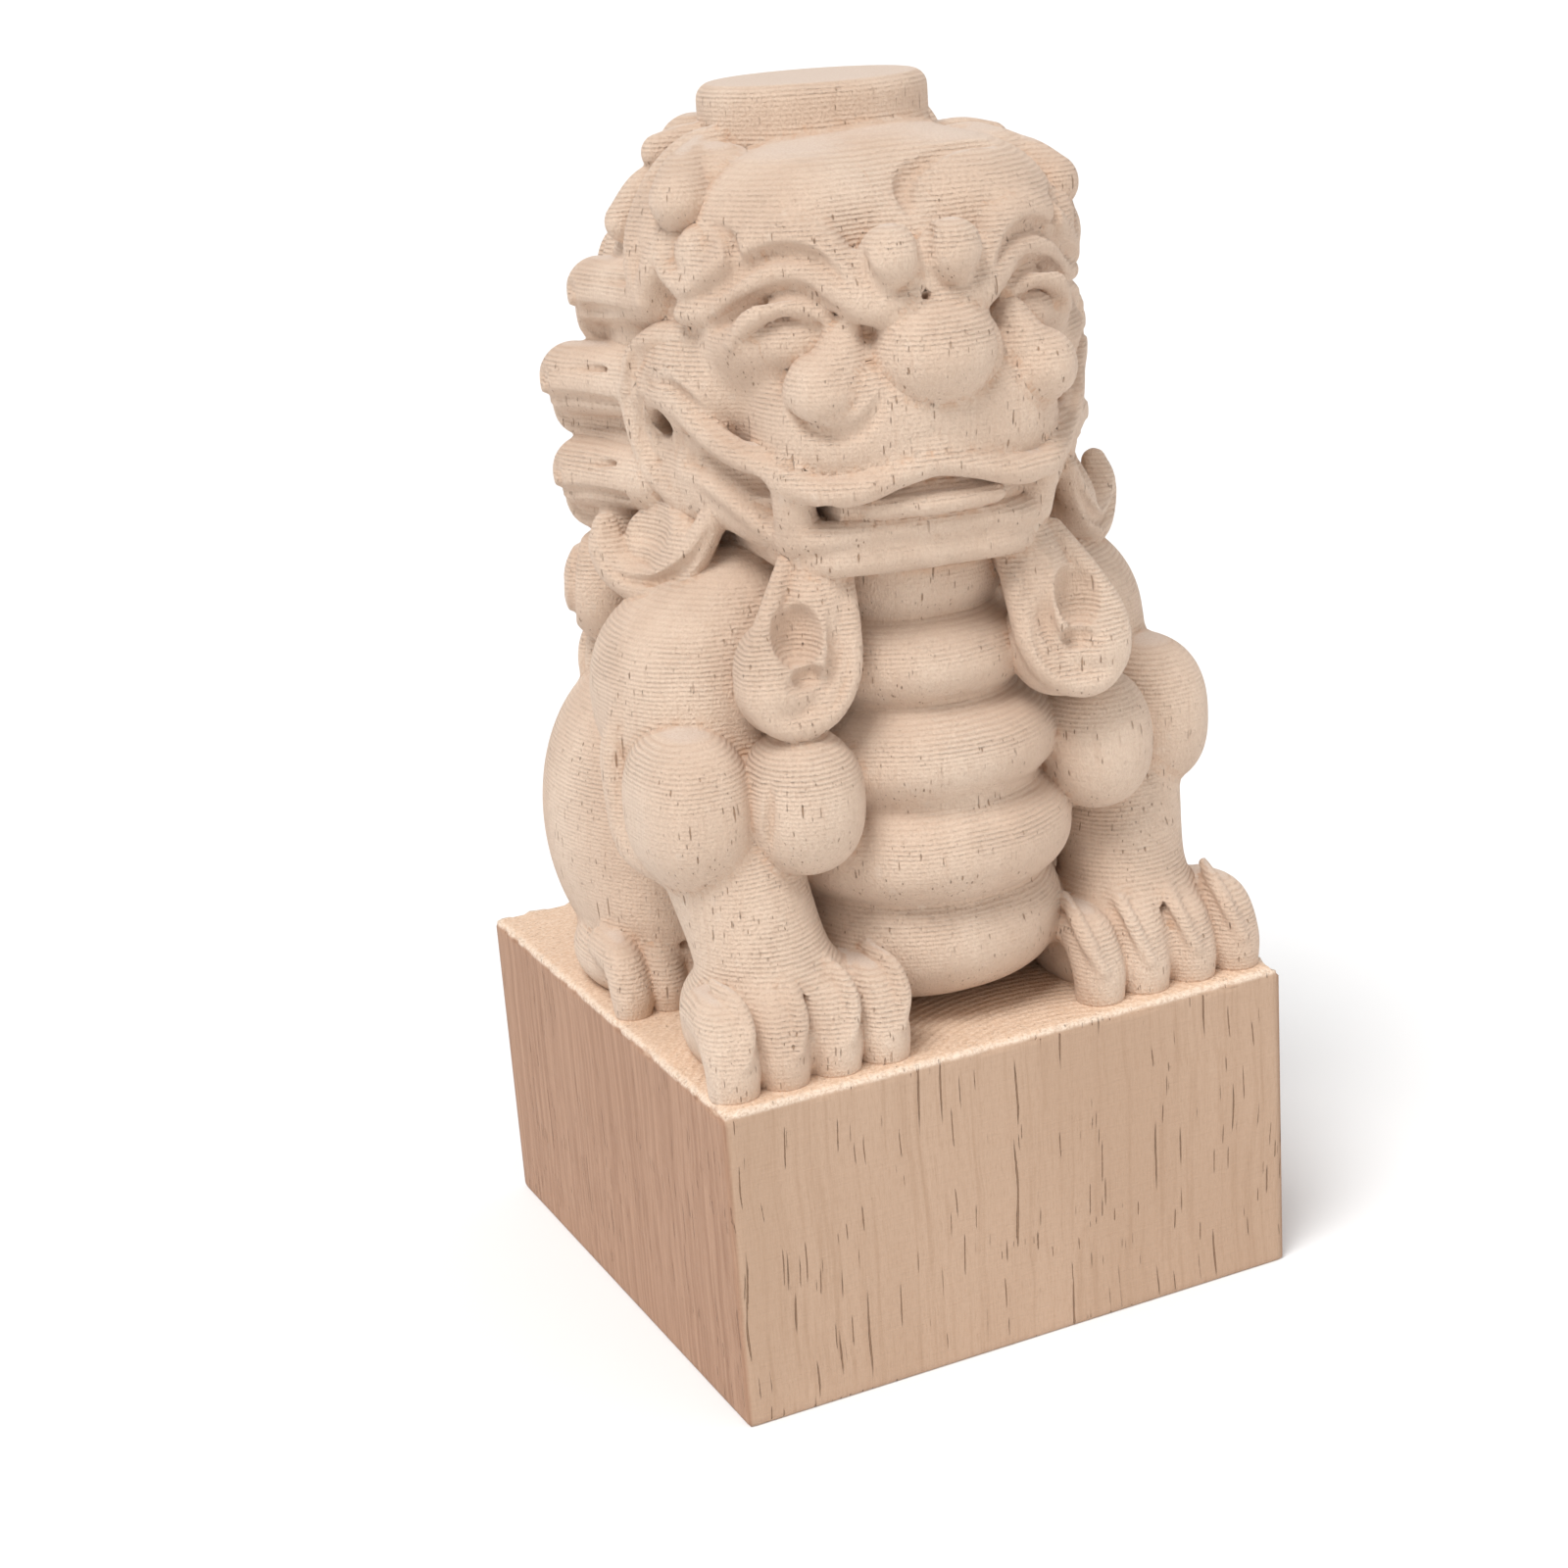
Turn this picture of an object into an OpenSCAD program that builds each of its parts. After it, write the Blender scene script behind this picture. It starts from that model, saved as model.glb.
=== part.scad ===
// Seated guardian lion on a square plinth, carved from one block of pale hardwood.
// Millimetres, +Z up, origin at the centre of the plinth's underside, the lion faces -Y.
// Every carved mass is its own solid; neighbours meet face to face and never overlap.

/* [Block] */
// Width and depth of the square block
block_w = 90; // [60:1:150]
// Height of the uncarved plinth
plinth_h = 48; // [30:1:60]

/* [Crown boss] */
// Radius of the round boss on top of the head
boss_r = 16.2; // [14:0.1:18]
// Width of the rounded edge of the boss
boss_bevel = 2.3; // [1:0.1:3]

/* [Carving] */
// How far the head is turned towards the lion's right, in degrees
head_turn = 9.5; // [0:0.5:15]
// Number of toes on each fore paw
toe_count = 4; // [3:1:4]

/* [Hidden] */

wood = "burlywood";
wood_pale = "wheat";
design_w = 90;             // block width at which every place below is given
figure_top = 178;          // height of the boss above the underside at design size
design_plinth = 48;
head_shift = 2.2;          // how far the head sits off the block's axis, to the lion's left
boss_foot = 163;           // where the boss is rooted in the skull
big = 400;
mass_fn = 16;
ball_fn = 12;
lock_fn = 8;

// Places on the lion's left side (+X); the right side mirrors them.
shoulder_at = [25, -9, 99];
elbow_at = [30, -24, 84];
ankle_at = [30.5, -27, 57];
fore_paw_at = [30, -28.5, 53];
haunch_at = [26, 14, 71];
hind_paw_at = [35, 9, 52];
toe_first = 18.5;
toe_pitch = 7.6;
toe_y = -38;

// ---------- building blocks ----------

// Ellipsoid with the given centre and radii
module egg(at, r, fn = mass_fn)
    translate(at) hull() scale(r) sphere(1, $fn = fn);

// Rounded bar between two balls
module bar(a, ra, b, rb, fn = lock_fn)
    hull() {
        translate(a) sphere(ra, $fn = fn);
        translate(b) sphere(rb, $fn = fn);
    }

function place(stop) = [stop[0], stop[1], stop[2]];

// Chain of rounded bars; each stop is [x, y, z, radius]
module lock(stops, fn = lock_fn)
    for (i = [0:len(stops) - 2])
        bar(place(stops[i]), stops[i][3], place(stops[i + 1]), stops[i + 1][3], fn);

// The right side (-1) mirrors the left side (+1)
module on_side(side) mirror([side > 0 ? 0 : 1, 0, 0]) children();

module on_both_sides() for (side = [-1, 1]) on_side(side) children();

// The head's own frame: shifted sideways and turned about the block's axis
module in_head() translate([head_shift, 0, 0]) rotate([0, 0, -head_turn]) children();

// First child less all the others, kept above the plinth and inside the block
module carved()
    intersection() {
        difference() {
            children(0);
            if ($children > 1) children([1:$children - 1]);
        }
        translate([-design_w / 2, -design_w / 2, design_plinth]) cube([design_w, design_w, big]);
    }

// Places the figure, at the block's scale, on a plinth of the chosen height
module placed()
    translate([0, 0, plinth_h - design_plinth * block_w / design_w]) scale(block_w / design_w) children();

// ---------- masses of the body ----------

module m_trunk() {
    egg([0, 8, 88], [30, 29, 42]);
    egg([0, 0, 112], [25, 25, 18]);
    egg([0, 20, 66], [26, 20, 24]);
}

// Belly folds from the throat down: [height, half height, half width, how far forward]
belly_folds = [
    [110, 10, 14.5, 33.5], [98.3, 9, 18, 37], [86.8, 10.5, 21, 40], [73.5, 12, 22.5, 41.5], [60, 13, 21, 38]
];

module m_belly() {
    egg([0, -10, 78], [20.5, 28, 36]);
    for (f = belly_folds) egg([0, -12, f[0]], [f[2], f[3] - 12, f[1]]);
}

module m_shoulder() egg(shoulder_at, [15.5, 20, 22]);

module m_foreleg() {
    bar([31, -13, 97], 11, elbow_at, 10.2, ball_fn);
    bar(elbow_at, 10.2, ankle_at, 10, ball_fn);
    bar([28, -22, 60], 10, [28, -25, 52], 11, ball_fn);
}

module m_fore_paw() {
    egg(fore_paw_at, [12.5, 11, 8.5], ball_fn);
    for (i = [0:toe_count - 1])
        bar([toe_first + i * toe_pitch, toe_y + 4, 56], 4, [toe_first + i * toe_pitch, toe_y, 51.6], 4.3);
}

module m_elbow_curls() {
    egg([36, -23.5, 85.5], [9, 11, 12], ball_fn);
    egg([23, -28.5, 86.5], [8.8, 9.8, 11.6], ball_fn);
    lock([[41, -7, 94, 2.8], [40.5, -6, 88, 3.4], [40, -8, 81, 3.4], [39, -14, 76, 3.4]]);
}

module m_haunch() {
    egg(haunch_at, [17.5, 22, 26]);
    lock([[34, -1, 90, 4], [39, 7, 88, 4], [41, 16, 81, 4]]);
}

module m_hind_paw() {
    egg(hind_paw_at, [8.5, 13, 7], ball_fn);
    for (i = [0:2])
        bar([33 + 4.2 * i, 6 + 3 * i, 54], 3.2, [30.5 + 4.6 * i, -1 + 4 * i, 51.3], 3.4);
}

module m_tail() {
    lock([[0, 34, 56, 6], [0, 38, 68, 6.2], [0, 37, 82, 7], [0, 35, 96, 4]]);
    on_both_sides() {
        lock([[0, 36, 64, 5], [8, 37, 72, 5.5], [11, 35, 82, 3]]);
        lock([[0, 36, 76, 5], [7, 36, 87, 4.6], [9.5, 34, 95, 2.6]]);
    }
}

// ---------- masses of the head, in its own frame ----------

module m_skull() {
    egg([0, -4, 144], [30, 32, 28]);
    egg([0, -12, 154], [27, 24, 17.5]);
    egg([0, 0, 124], [22, 22, 14]);
    on_both_sides() {
        egg([11, -24.5, 134.5], [16, 14.5, 10.5]);
        egg([22.5, -9, 139.5], [11, 12.5, 8.5]);
        egg([17, -25, 146.5], [9, 7, 6.5]);
    }
}

module m_boss(r = boss_r, fn = 64) {
    translate([0, 0, boss_foot]) cylinder(r = r, h = figure_top - boss_bevel - boss_foot, $fn = fn);
    translate([0, 0, figure_top - boss_bevel])
        cylinder(r1 = r, r2 = r - boss_bevel, h = boss_bevel, $fn = fn);
}

// The boss as its neighbours see it: a many-sided socket just clear of the round
module m_boss_socket() m_boss(boss_r / cos(180 / 36), 36);

module m_nose() {
    egg([0, -37, 143], [9.5, 6.4, 6.8], ball_fn);
    on_both_sides() egg([11, -35.6, 139.3], [5.8, 5.8, 5.6], ball_fn);
    bar([0, -35, 148], 4.5, [0, -31, 153], 4);
}

module m_eye() {
    egg([17.6, -29.5, 146.5], [5.6, 4.8, 3.8], ball_fn);
    lock([[12, -31.5, 149, 1.4], [17.5, -32.2, 151.4, 1.5], [23, -27.5, 148, 1.3]]);
}

// Two ridges that run together from a curl at the temple to a ball beside the nose
module m_brow() {
    egg([4.2, -36.8, 156.7], [3.7, 3.7, 3.7], ball_fn);
    lock([
        [4.2, -37.6, 151.6, 2.4], [9, -35.6, 151.4, 2.6], [14, -32.5, 154, 2.6],
        [19.3, -28.8, 155.4, 2.6], [24, -22.6, 152.4, 2.6], [27.4, -18, 149.8, 2.4]
    ]);
    lock([[9, -36, 155.8, 1.8], [14, -32.6, 158.6, 2], [19.3, -28, 159.6, 2], [24.6, -21.5, 157.2, 2.6]]);
    egg([25.4, -18, 157.6], [4, 4, 4.2], ball_fn);
}

// A flame-shaped plate that sweeps up and outward over the forehead
module m_forehead_leaf()
    lock([
        [4.8, -35.4, 161.4, 2.6], [8, -32.2, 164, 4.4], [12.5, -26, 166, 5], [16.5, -18, 167, 4.4],
        [19, -11, 166.4, 3.4]
    ]);

module m_upper_lip()
    on_both_sides()
        lock([
            [0, -39, 131.8, 2.6], [8, -40, 130.4, 2.6], [15, -38.6, 127.8, 2.6],
            [22, -31, 128.6, 2.6], [26.8, -21.5, 129.8, 2.5], [28.6, -14, 131, 2.6]
        ]);

// The lip rolls up and round a drilled hole at the corner of the mouth
swirl_at = [28.6, -9.4, 132.7];
swirl_r = 4.4;

function swirl_point(a) = swirl_at + swirl_r * [0, cos(a), sin(a)];

module m_cheek_swirl()
    for (a = [-150:40:130])
        bar(swirl_point(a), 2.6, swirl_point(a + 40), 2.6);

module m_swirl_hole() translate(swirl_at - [4, 0, 0]) rotate([0, 90, 0]) cylinder(r = 1.6, h = 12, $fn = 16);

module m_lower_jaw() {
    hull() on_both_sides() {
        translate([17, -27, 120.6]) sphere(3.8, $fn = lock_fn);
        translate([9.5, -34.6, 119.4]) sphere(3.8, $fn = lock_fn);
        translate([20, -12, 122]) sphere(4.4, $fn = lock_fn);
    }
    on_both_sides()
        lock([
            [0, -36.6, 123, 2.3], [8.5, -36.4, 123, 2.3], [17.4, -28.6, 123.4, 2.5],
            [22.5, -20, 125, 3], [27, -13, 128, 3]
        ]);
}

module m_fang() bar([16.8, -32.5, 129], 2.5, [17, -31, 122.5], 2);

module m_tongue() egg([0, -26, 126.6], [14.5, 11, 2.6], ball_fn);

module m_beard_tuft()
    lock([
        [12.8, -28, 114, 4.4], [16, -32.6, 108.5, 5.6], [19.5, -34.6, 102.6, 6.6], [25.5, -35.4, 104, 4.2],
        [27, -34, 108, 2.4]
    ]);

module m_cheek_curl() {
    lock([
        [26, -18, 121, 4.4], [29.5, -13, 115, 5], [33.5, -7, 113, 4.8], [37.4, -2, 115, 4],
        [37.2, 0.6, 118.6, 2.8]
    ]);
    egg([30, -5, 119.5], [6, 9, 6], ball_fn);
}

// Side locks sweep back from the cheek: [height, front x, front y, back x, back y, radius, drop]
side_locks = [
    [168.5, 17, -12, 22, 4, 4.8, 1], [163, 24, -13, 30.5, -5, 4.8, 2], [156, 28, -5, 33, 8, 4.8, 1],
    [147, 29, 0, 33.5, 15, 4.6, 0], [138.5, 31, -1, 36.5, 13, 4.8, -1],
    [129, 30, -2, 36, 13, 5.2, 1], [117.5, 29, 5, 35, 15, 4.6, -1]
];

module m_side_mane() {
    egg([20, 3, 142], [14, 15, 28]);
    for (l = side_locks) lock([[l[1], l[2], l[0], l[5]], [l[3], l[4], l[0] - l[6], l[5] * 0.9]]);
}

// Rows of drooping curls round the nape: [height, distance from the axis, count, radius]
nape_rows = [[165, 22, 4, 6.4], [151, 30, 5, 7], [136, 33, 5, 7], [121, 31.5, 5, 7]];
nape_arc = 120;

module curl_row(row, arc)
    for (k = [0:row[2] - 1]) {
        a = 90 + (k - (row[2] - 1) / 2) * arc / row[2];
        egg([row[1] * cos(a), row[1] * sin(a), row[0]], [row[3], row[3], row[3] * 1.35], 10);
    }

module m_nape_mane() {
    egg([0, 10, 139], [25, 25, 32]);
    for (row = nape_rows) curl_row(row, nape_arc);
}

// Locks that hang from the nape over the shoulders and back
back_rows = [[107, 34.5, 6, 6.8], [95, 35.5, 5, 6.4]];
back_arc = 165;

module m_back_mane() {
    egg([0, 17, 103], [32, 19, 16]);
    for (row = back_rows) curl_row(row, back_arc);
}

// ---------- groups that neighbours are cut back to ----------

module head_core() in_head() m_skull();

module body_core() {
    m_trunk();
    on_both_sides() m_shoulder();
}

module jaws() in_head() {
    m_upper_lip();
    m_lower_jaw();
}

// ---------- nodes ----------

module plinth() color(wood) translate([-block_w / 2, -block_w / 2, 0]) cube([block_w, block_w, plinth_h]);

module trunk() color(wood_pale) placed() carved() {
    m_trunk();
    head_core();
    on_both_sides() {
        m_shoulder();
        m_haunch();
    }
}

module belly() color(wood_pale) placed() carved() {
    m_belly();
    body_core();
    head_core();
    in_head() m_lower_jaw();
    on_both_sides() {
        m_haunch();
        m_foreleg();
        m_elbow_curls();
    }
}

module shoulder(side) color(wood_pale) placed() carved() {
    on_side(side) m_shoulder();
    head_core();
    in_head() m_lower_jaw();
    on_side(side) {
        m_foreleg();
        m_elbow_curls();
        m_haunch();
    }
    if (side > 0) on_side(-side) m_shoulder();
}

module foreleg(side) color(wood_pale) placed() carved() {
    on_side(side) m_foreleg();
    on_side(side) {
        m_haunch();
        m_elbow_curls();
    }
    head_core();
    in_head() m_lower_jaw();
}

module fore_paw(side) color(wood_pale) placed() carved() {
    on_side(side) m_fore_paw();
    on_side(side) m_foreleg();
    m_belly();
}

module elbow_curls(side) color(wood_pale) placed() carved() {
    on_side(side) m_elbow_curls();
    on_side(side) m_haunch();
    head_core();
}

module haunch(side) color(wood_pale) placed() carved() {
    on_side(side) m_haunch();
    if (side > 0) on_side(-side) m_haunch();
    head_core();
}

module hind_paw(side) color(wood_pale) placed() carved() {
    on_side(side) m_hind_paw();
    on_side(side) {
        m_haunch();
        m_foreleg();
    }
    m_trunk();
}

module tail() color(wood_pale) placed() carved() {
    m_tail();
    body_core();
    on_both_sides() m_haunch();
}

module head() color(wood_pale) placed() carved() {
    head_core();
    m_boss_socket();
    in_head() on_both_sides() m_swirl_hole();
}

module crown_boss() color(wood_pale) placed() m_boss();

module nose() color(wood_pale) placed() carved() {
    in_head() m_nose();
    head_core();
    in_head() on_both_sides() m_brow();
}

module eye(side) color(wood_pale) placed() carved() {
    in_head() on_side(side) m_eye();
    head_core();
    in_head() {
        m_nose();
        on_side(side) m_brow();
    }
}

module brow(side) color(wood_pale) placed() carved() {
    in_head() on_side(side) m_brow();
    head_core();
    if (side > 0) in_head() on_side(-side) m_brow();
}

module forehead_leaf(side) color(wood_pale) placed() carved() {
    in_head() on_side(side) m_forehead_leaf();
    head_core();
    in_head() on_side(side) m_brow();
    m_boss_socket();
}

module upper_lip() color(wood_pale) placed() carved() {
    in_head() m_upper_lip();
    head_core();
    in_head() on_both_sides() m_cheek_swirl();
}

module lower_jaw() color(wood_pale) placed() carved() {
    in_head() m_lower_jaw();
    head_core();
    in_head() {
        m_upper_lip();
        on_both_sides() m_cheek_swirl();
    }
}

module fang(side) color(wood_pale) placed() carved() {
    in_head() on_side(side) m_fang();
    head_core();
    jaws();
}

module tongue() color(wood_pale) placed() carved() {
    in_head() m_tongue();
    head_core();
    jaws();
    in_head() on_both_sides() m_fang();
}

module cheek_swirl(side) color(wood_pale) placed() carved() {
    in_head() on_side(side) m_cheek_swirl();
    head_core();
    in_head() on_side(side) m_swirl_hole();
}

module beard_tuft(side) color(wood_pale) placed() carved() {
    in_head() on_side(side) m_beard_tuft();
    head_core();
    jaws();
    body_core();
    m_belly();
    on_side(side) {
        m_foreleg();
        m_elbow_curls();
    }
}

module cheek_curl(side) color(wood_pale) placed() carved() {
    in_head() on_side(side) m_cheek_curl();
    head_core();
    jaws();
    body_core();
    on_side(side) m_foreleg();
    in_head() on_side(side) m_cheek_swirl();
}

module side_mane(side) color(wood_pale) placed() carved() {
    in_head() on_side(side) m_side_mane();
    head_core();
    jaws();
    body_core();
    m_boss_socket();
    in_head() on_side(side) {
        m_brow();
        m_forehead_leaf();
        m_cheek_curl();
        m_cheek_swirl();
    }
}

module nape_mane() color(wood_pale) placed() carved() {
    in_head() m_nape_mane();
    head_core();
    body_core();
    m_boss_socket();
    in_head() on_both_sides() {
        m_side_mane();
        m_cheek_curl();
    }
}

module back_mane() color(wood_pale) placed() carved() {
    m_back_mane();
    head_core();
    body_core();
    m_tail();
    on_both_sides() m_haunch();
    in_head() {
        m_nape_mane();
        on_both_sides() {
            m_side_mane();
            m_cheek_curl();
        }
    }
}

plinth();
trunk();
belly();
shoulder(-1);  // right_shoulder
shoulder(1);  // left_shoulder
foreleg(-1);  // right_foreleg
foreleg(1);  // left_foreleg
fore_paw(-1);  // right_fore_paw
fore_paw(1);  // left_fore_paw
elbow_curls(-1);  // right_elbow_curls
elbow_curls(1);  // left_elbow_curls
haunch(-1);  // right_haunch
haunch(1);  // left_haunch
hind_paw(-1);  // right_hind_paw
hind_paw(1);  // left_hind_paw
head();
crown_boss();
nose();
eye(-1);  // right_eye
eye(1);  // left_eye
brow(-1);  // right_brow
brow(1);  // left_brow
forehead_leaf(-1);  // right_forehead_leaf
forehead_leaf(1);  // left_forehead_leaf
upper_lip();
lower_jaw();
fang(-1);  // right_fang
fang(1);  // left_fang
tongue();
cheek_swirl(-1);  // right_cheek_swirl
cheek_swirl(1);  // left_cheek_swirl
beard_tuft(-1);  // right_beard_tuft
beard_tuft(1);  // left_beard_tuft
cheek_curl(-1);  // right_cheek_curl
cheek_curl(1);  // left_cheek_curl
side_mane(-1);  // right_side_mane
side_mane(1);  // left_side_mane
nape_mane();
back_mane();
tail();
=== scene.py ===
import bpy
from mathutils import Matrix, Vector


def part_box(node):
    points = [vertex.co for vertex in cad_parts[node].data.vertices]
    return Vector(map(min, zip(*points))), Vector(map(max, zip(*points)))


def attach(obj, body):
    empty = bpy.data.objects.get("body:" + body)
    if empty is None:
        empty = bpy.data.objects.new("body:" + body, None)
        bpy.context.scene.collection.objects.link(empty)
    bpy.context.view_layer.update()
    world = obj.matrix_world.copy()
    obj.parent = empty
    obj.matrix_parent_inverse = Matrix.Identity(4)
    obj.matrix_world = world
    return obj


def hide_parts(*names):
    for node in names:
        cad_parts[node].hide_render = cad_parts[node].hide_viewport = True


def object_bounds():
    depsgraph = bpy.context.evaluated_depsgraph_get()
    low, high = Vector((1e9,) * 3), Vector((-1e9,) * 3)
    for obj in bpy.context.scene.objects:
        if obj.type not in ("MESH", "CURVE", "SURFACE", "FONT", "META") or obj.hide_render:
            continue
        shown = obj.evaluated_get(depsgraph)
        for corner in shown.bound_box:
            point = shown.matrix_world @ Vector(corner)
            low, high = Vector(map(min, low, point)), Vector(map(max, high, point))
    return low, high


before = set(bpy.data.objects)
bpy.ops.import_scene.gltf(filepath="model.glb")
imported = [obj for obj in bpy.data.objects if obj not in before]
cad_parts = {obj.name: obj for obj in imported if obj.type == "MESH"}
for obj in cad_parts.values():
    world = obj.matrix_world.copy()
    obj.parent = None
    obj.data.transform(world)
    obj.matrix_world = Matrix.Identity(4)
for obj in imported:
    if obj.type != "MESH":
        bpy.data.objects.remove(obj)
cad_box = [list(corner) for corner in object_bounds()]

import math

import bmesh
import bpy
import numpy as np
import openvdb
from mathutils import Matrix, Vector, noise

MM = 0.001
STEP = 0.45  # size of a sculpting cell, mm
FAR = 6.0  # distance written where a mass is out of reach, mm
REACH = 3.0  # how far past its surface a stroke is worked out, mm

plinth_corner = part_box("plinth")[1]
HALF = round(plinth_corner[0] / MM, 3)  # half the block's width, mm
FLOOR = round(plinth_corner[2] / MM, 3)  # top of the plinth
TOP = round(cad_box[1][2] / MM, 3)  # top of the boss
BOSS_RADIUS = 16.2  # the flat-topped boss on the crown
BOSS_RIM = 2.3  # rounding of its rim
HEAD_TURN = math.radians(9.5)
HEAD_SHIFT = 2.2
LOW = np.array([-HALF - 1.5, -HALF - 1.5, FLOOR - 2.5])
HIGH = np.array([HALF + 1.5, HALF + 1.5, TOP + 1.5])
CELLS = np.ceil((HIGH - LOW) / STEP).astype(int) + 1
AXES = [LOW[a] + STEP * np.arange(CELLS[a]) for a in range(3)]


# ---------- sculpting: every mass is a signed distance field on one shared grid ----------


def smooth_min(a, b, k):
    h = np.clip(0.5 + 0.5 * (b - a) / k, 0.0, 1.0)
    return b + (a - b) * h - k * h * (1.0 - h)


def smooth_max(a, b, k):
    return -smooth_min(-a, -b, k)


def in_head(p):
    """A point of the turned head's own frame, in the block's frame."""
    c, s = math.cos(HEAD_TURN), math.sin(HEAD_TURN)
    return np.array([c * p[0] + s * p[1] + HEAD_SHIFT, -s * p[0] + c * p[1], p[2]])


WORLD_AXES = np.eye(3)
HEAD_AXES = np.array([in_head(e) - in_head((0, 0, 0)) for e in np.eye(3)])


def mirrored(points, side):
    return [(side * p[0],) + tuple(p[1:]) for p in points]


def spline(stops, steps):
    """Catmull-Rom through stops of x, y, z, radius."""
    p = np.array(stops, float)
    if len(p) == 2:
        return p
    p = np.vstack([2 * p[0] - p[1], p, 2 * p[-1] - p[-2]])
    out = []
    for i in range(1, len(p) - 2):
        for t in np.arange(steps) / steps:
            a, b, c, d = p[i - 1], p[i], p[i + 1], p[i + 2]
            square = (2 * a - 5 * b + 4 * c - d) * t * t
            cube = (3 * b - a - 3 * c + d) * t**3
            out.append(0.5 * (2 * b + (c - a) * t + square + cube))
    out.append(p[-2])
    return np.array(out)


class Field:
    """A block of the shared grid holding one mass's distance to its surface."""

    def __init__(self, low, high):
        self.i0 = np.maximum(np.floor((np.array(low, float) - LOW) / STEP).astype(int), 0)
        self.i1 = np.minimum(np.ceil((np.array(high, float) - LOW) / STEP).astype(int) + 1, CELLS)
        self.d = np.full(self.i1 - self.i0, FAR, np.float32)

    def window(self, low, high):
        a = np.maximum(np.floor((low - LOW) / STEP).astype(int), self.i0)
        b = np.minimum(np.ceil((high - LOW) / STEP).astype(int) + 1, self.i1)
        if (b <= a).any():
            return None
        part = tuple(slice(a[k] - self.i0[k], b[k] - self.i0[k]) for k in range(3))
        x, y, z = (AXES[k][a[k] : b[k]].astype(np.float32) for k in range(3))
        return part, x[:, None, None], y[None, :, None], z[None, None, :]

    def stroke(self, low, high, distance, blend, cut=False):
        w = self.window(low, high)
        if w is None:
            return
        part, x, y, z = w
        d = distance(x, y, z).astype(np.float32)
        old = self.d[part]
        self.d[part] = smooth_max(old, -d, blend) if cut else smooth_min(old, d, blend)

    def egg(self, at, radii, blend=1.5, axes=WORLD_AXES, cut=False, power=2):
        """An ellipsoid, or one squared off towards a rounded box when power is above 2."""
        at, r = np.array(at, float), np.array(radii, float)
        half = np.sqrt(((axes * r[:, None]) ** 2).sum(0)) + REACH + blend

        def distance(x, y, z):
            x, y, z = x - at[0], y - at[1], z - at[2]
            q = [axes[k][0] * x + axes[k][1] * y + axes[k][2] * z for k in range(3)]
            q = [np.abs(q[k]) / r[k] for k in range(3)]
            k0 = np.maximum(sum(q[k] ** power for k in range(3)), 1e-9) ** (1 / power)
            k1 = np.sqrt(sum((q[k] ** (power - 1) / r[k]) ** 2 for k in range(3))) * k0 ** (1 - power)
            return np.where(k0 < 0.2, (k0 - 1.0) * r.min(), (k0 - 1.0) / np.maximum(k1, 1e-6))

        self.stroke(at - half, at + half, distance, blend, cut)

    def tube(self, stops, blend=1.0, steps=6, cut=False):
        """A tube along a smooth curve; each stop is x, y, z, radius."""
        p = spline(stops, steps)
        pad = REACH + blend + p[:, 3].max()
        w = self.window(p[:, :3].min(0) - pad, p[:, :3].max(0) + pad)
        if w is None:
            return
        part, x, y, z = w
        joined = np.full(self.d[part].shape, FAR, np.float32)
        base = [s.start for s in part]
        for a, b in zip(p[:-1], p[1:]):
            reach = max(a[3], b[3]) + REACH + blend
            lo, hi = np.minimum(a, b)[:3] - reach, np.maximum(a, b)[:3] + reach
            v = self.window(lo, hi)
            if v is None:
                continue
            sub, x, y, z = v
            sub = tuple(slice(s.start - o, s.stop - o) for s, o in zip(sub, base))
            ab = (b - a)[:3]
            n = max(float(ab @ ab), 1e-9)
            px, py, pz = x - a[0], y - a[1], z - a[2]
            t = np.clip((px * ab[0] + py * ab[1] + pz * ab[2]) / n, 0, 1)
            d = np.sqrt((px - t * ab[0]) ** 2 + (py - t * ab[1]) ** 2 + (pz - t * ab[2]) ** 2)
            d -= a[3] + (b[3] - a[3]) * t
            joined[sub] = np.minimum(joined[sub], d.astype(np.float32))
        old = self.d[part]
        self.d[part] = smooth_max(old, -joined, blend) if cut else smooth_min(old, joined, blend)


masses = {}  # name -> (Field, blend with what is already there)


def mass(name, low, high, blend):
    masses[name] = (Field(low, high), blend)
    return masses[name][0]


def sides():
    return (("right", -1), ("left", 1))


def head_tube(f, stops, side=1, **more):
    f.tube([tuple(in_head((side * s[0], s[1], s[2]))) + (s[3],) for s in stops], **more)


def head_egg(f, at, radii, side=1, **more):
    f.egg(in_head((side * at[0], at[1], at[2])), radii, axes=HEAD_AXES, **more)


def body_tube(f, stops, side=1, **more):
    f.tube(mirrored(stops, side), **more)


def body_egg(f, at, radii, side=1, **more):
    f.egg((side * at[0], at[1], at[2]), radii, **more)


WHOLE = (LOW, HIGH)
grooves = Field(*WHOLE)  # carved lines, never deeper than GROOVE_DEPTH below the joined surface
holes = Field(*WHOLE)  # drilled and undercut places, as deep as they are drawn
GROOVE_DEPTH = 1.5


def facing(degrees):
    """Axes of a shape whose second axis points out at an angle from the head's front."""
    a = math.radians(degrees)
    local = np.array([(math.cos(a), math.sin(a), 0), (math.sin(a), -math.cos(a), 0), (0, 0, 1)])
    return local @ HEAD_AXES


# the two sides of the face differ a little: key -1 is the lion's right, 1 its left
NOSTRIL_OUT = {-1: 13.7, 1: 16.6}
JAW_TRIM = {-1: 0, 1: 1.8}
FANG_TRIM = {-1: 0, 1: 1.4}
FORELOCK_DROP = {-1: 0, 1: 2.8}

# trunk
f = mass("trunk", (-40, -32, 44), (40, 46, 134), 1.0)
f.egg((0, 8, 88), (31, 29, 42))
f.egg((0, 0, 112), (25, 25, 18))
f.egg((0, 20, 66), (27, 20, 24))

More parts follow.
